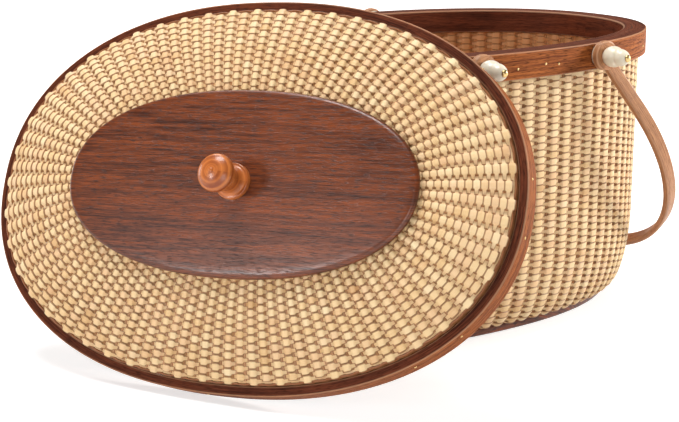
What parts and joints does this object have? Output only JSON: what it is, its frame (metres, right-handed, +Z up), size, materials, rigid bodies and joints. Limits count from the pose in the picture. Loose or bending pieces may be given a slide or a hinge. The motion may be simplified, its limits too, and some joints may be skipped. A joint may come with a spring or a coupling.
{
  "type": "nantucket basket",
  "caption": "Oval woven basket with walnut rims and base, swing handles on bone knobs, and a domed lid with a walnut plaque and turned knob that leans against one end.",
  "frame": {"origin": "middle of the base board's underside, on the floor", "axes": "+X along the basket to its right end, +Z up, -Y towards the viewer"},
  "size_m": [0.5015, 0.4063, 0.242],
  "materials": {
    "walnut": "satin oiled",
    "handle_wood": "satin",
    "cherry": "satin",
    "cane": "semi-matte",
    "bone": "polished",
    "brass": "polished"
  },
  "bodies": {
    "basket": {"base_board": "walnut", "woven_wall": "cane", "outer_rim": "walnut", "inner_rim": "walnut", "right_near_washer": "bone", "right_near_knob": "bone", "right_near_pin": "brass", "right_far_washer": "bone", "right_far_knob": "bone", "right_far_pin": "brass", "left_near_washer": "bone", "left_near_knob": "bone", "left_near_pin": "brass", "left_far_washer": "bone", "left_far_knob": "bone", "left_far_pin": "brass"},
    "right_handle": {"right_handle": "handle_wood"},
    "left_handle": {"left_handle": "handle_wood"},
    "lid": {"lid_outer_rim": "walnut", "lid_inner_rim": "walnut", "lid_weave": "cane", "lid_plaque": "walnut", "lid_knob": "cherry", "lid_knob_screw": "brass"}
  },
  "joints": [
    {"name": "right_handle_swing", "type": "hinge", "parent": "basket", "child": "right_handle", "pos_m": [0.058, 0, 0.1965], "axis": [0, -1, 0], "range_deg": [0, 155]},
    {"name": "left_handle_swing", "type": "hinge", "parent": "basket", "child": "left_handle", "pos_m": [-0.058, 0, 0.1965], "axis": [0, 1, 0], "range_deg": [0, 22]},
    {"name": "lid_lift", "type": "slide", "parent": "basket", "child": "lid", "axis": [0, 0, 1], "range_m": [0, 0.25]}
  ]
}
